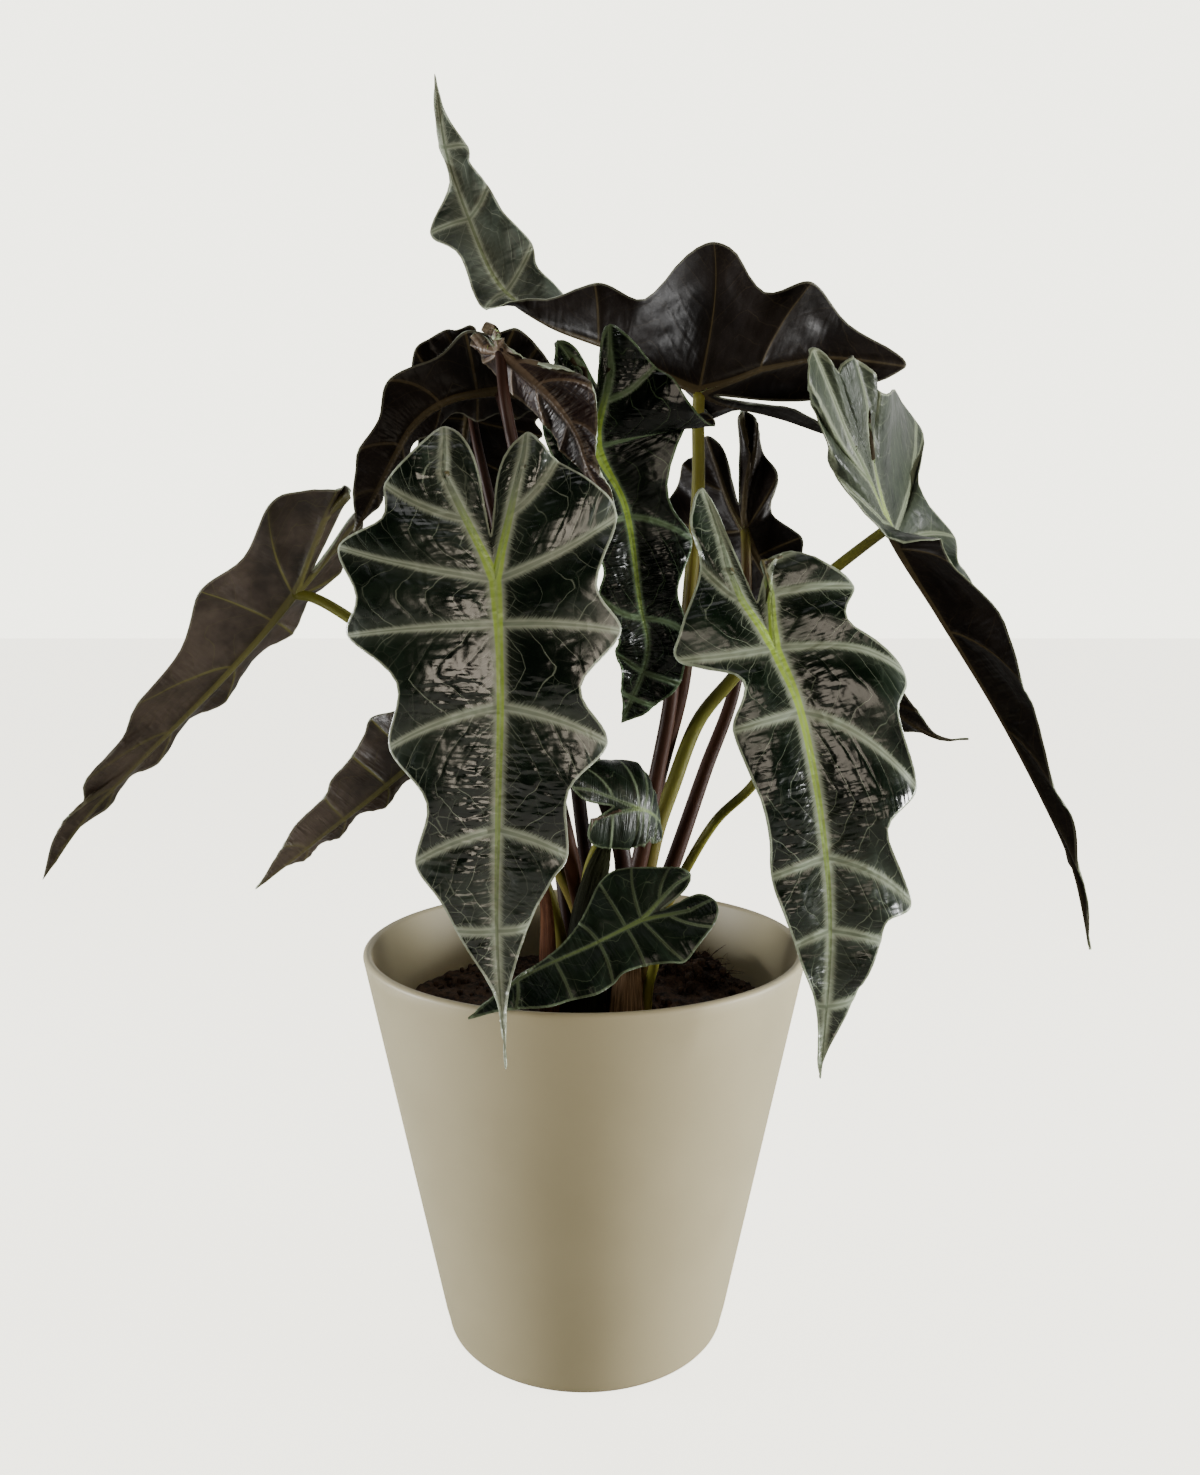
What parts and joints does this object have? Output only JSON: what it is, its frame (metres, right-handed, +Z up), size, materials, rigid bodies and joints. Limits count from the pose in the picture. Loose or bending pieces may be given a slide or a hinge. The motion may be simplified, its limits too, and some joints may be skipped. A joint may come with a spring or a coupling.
{
  "type": "potted alocasia plant",
  "caption": "Leafy houseplant with dark, pale-veined, wavy arrow-shaped leaves on slender stems, standing in soil in a tapered round planter.",
  "frame": {"origin": "centre of the planter's foot, on the surface it stands on", "axes": "+Z up; the side shown in the picture is seen by looking along +Y, with +X to the right"},
  "size_m": [0.4246, 0.202, 0.5121],
  "materials": {
    "planter": "smooth matt greige",
    "soil": "crumbly dark potting soil",
    "blade": "waxy near-black green with pale veins, purple-brown underneath",
    "stem": "smooth, olive near the blade and red-brown at the foot",
    "sheath": "dry and papery"
  },
  "bodies": {
    "root": {"planter": "planter", "soil": "soil", "leaf_front_left": "blade", "leaf_front_right": "blade", "leaf_right": "blade", "leaf_top": "blade", "leaf_left": "blade", "leaf_low_left": "blade", "leaf_middle": "blade", "leaf_back_right": "blade", "leaf_small_upper": "blade", "leaf_small_lower": "blade", "leaf_curled": "blade", "leaf_back_left": "blade", "leaf_upper_left": "blade", "stem_front_left": "stem", "stem_front_right": "stem", "stem_right": "stem", "stem_top": "stem", "stem_left": "stem", "stem_low_left": "stem", "stem_middle": "stem", "stem_back_right": "stem", "stem_small_upper": "stem", "stem_small_lower": "stem", "stem_curled": "stem", "stem_back_left": "stem", "stem_upper_left": "stem", "sheath_left": "sheath", "sheath_front": "sheath", "sheath_young": "sheath"}
  },
  "joints": []
}
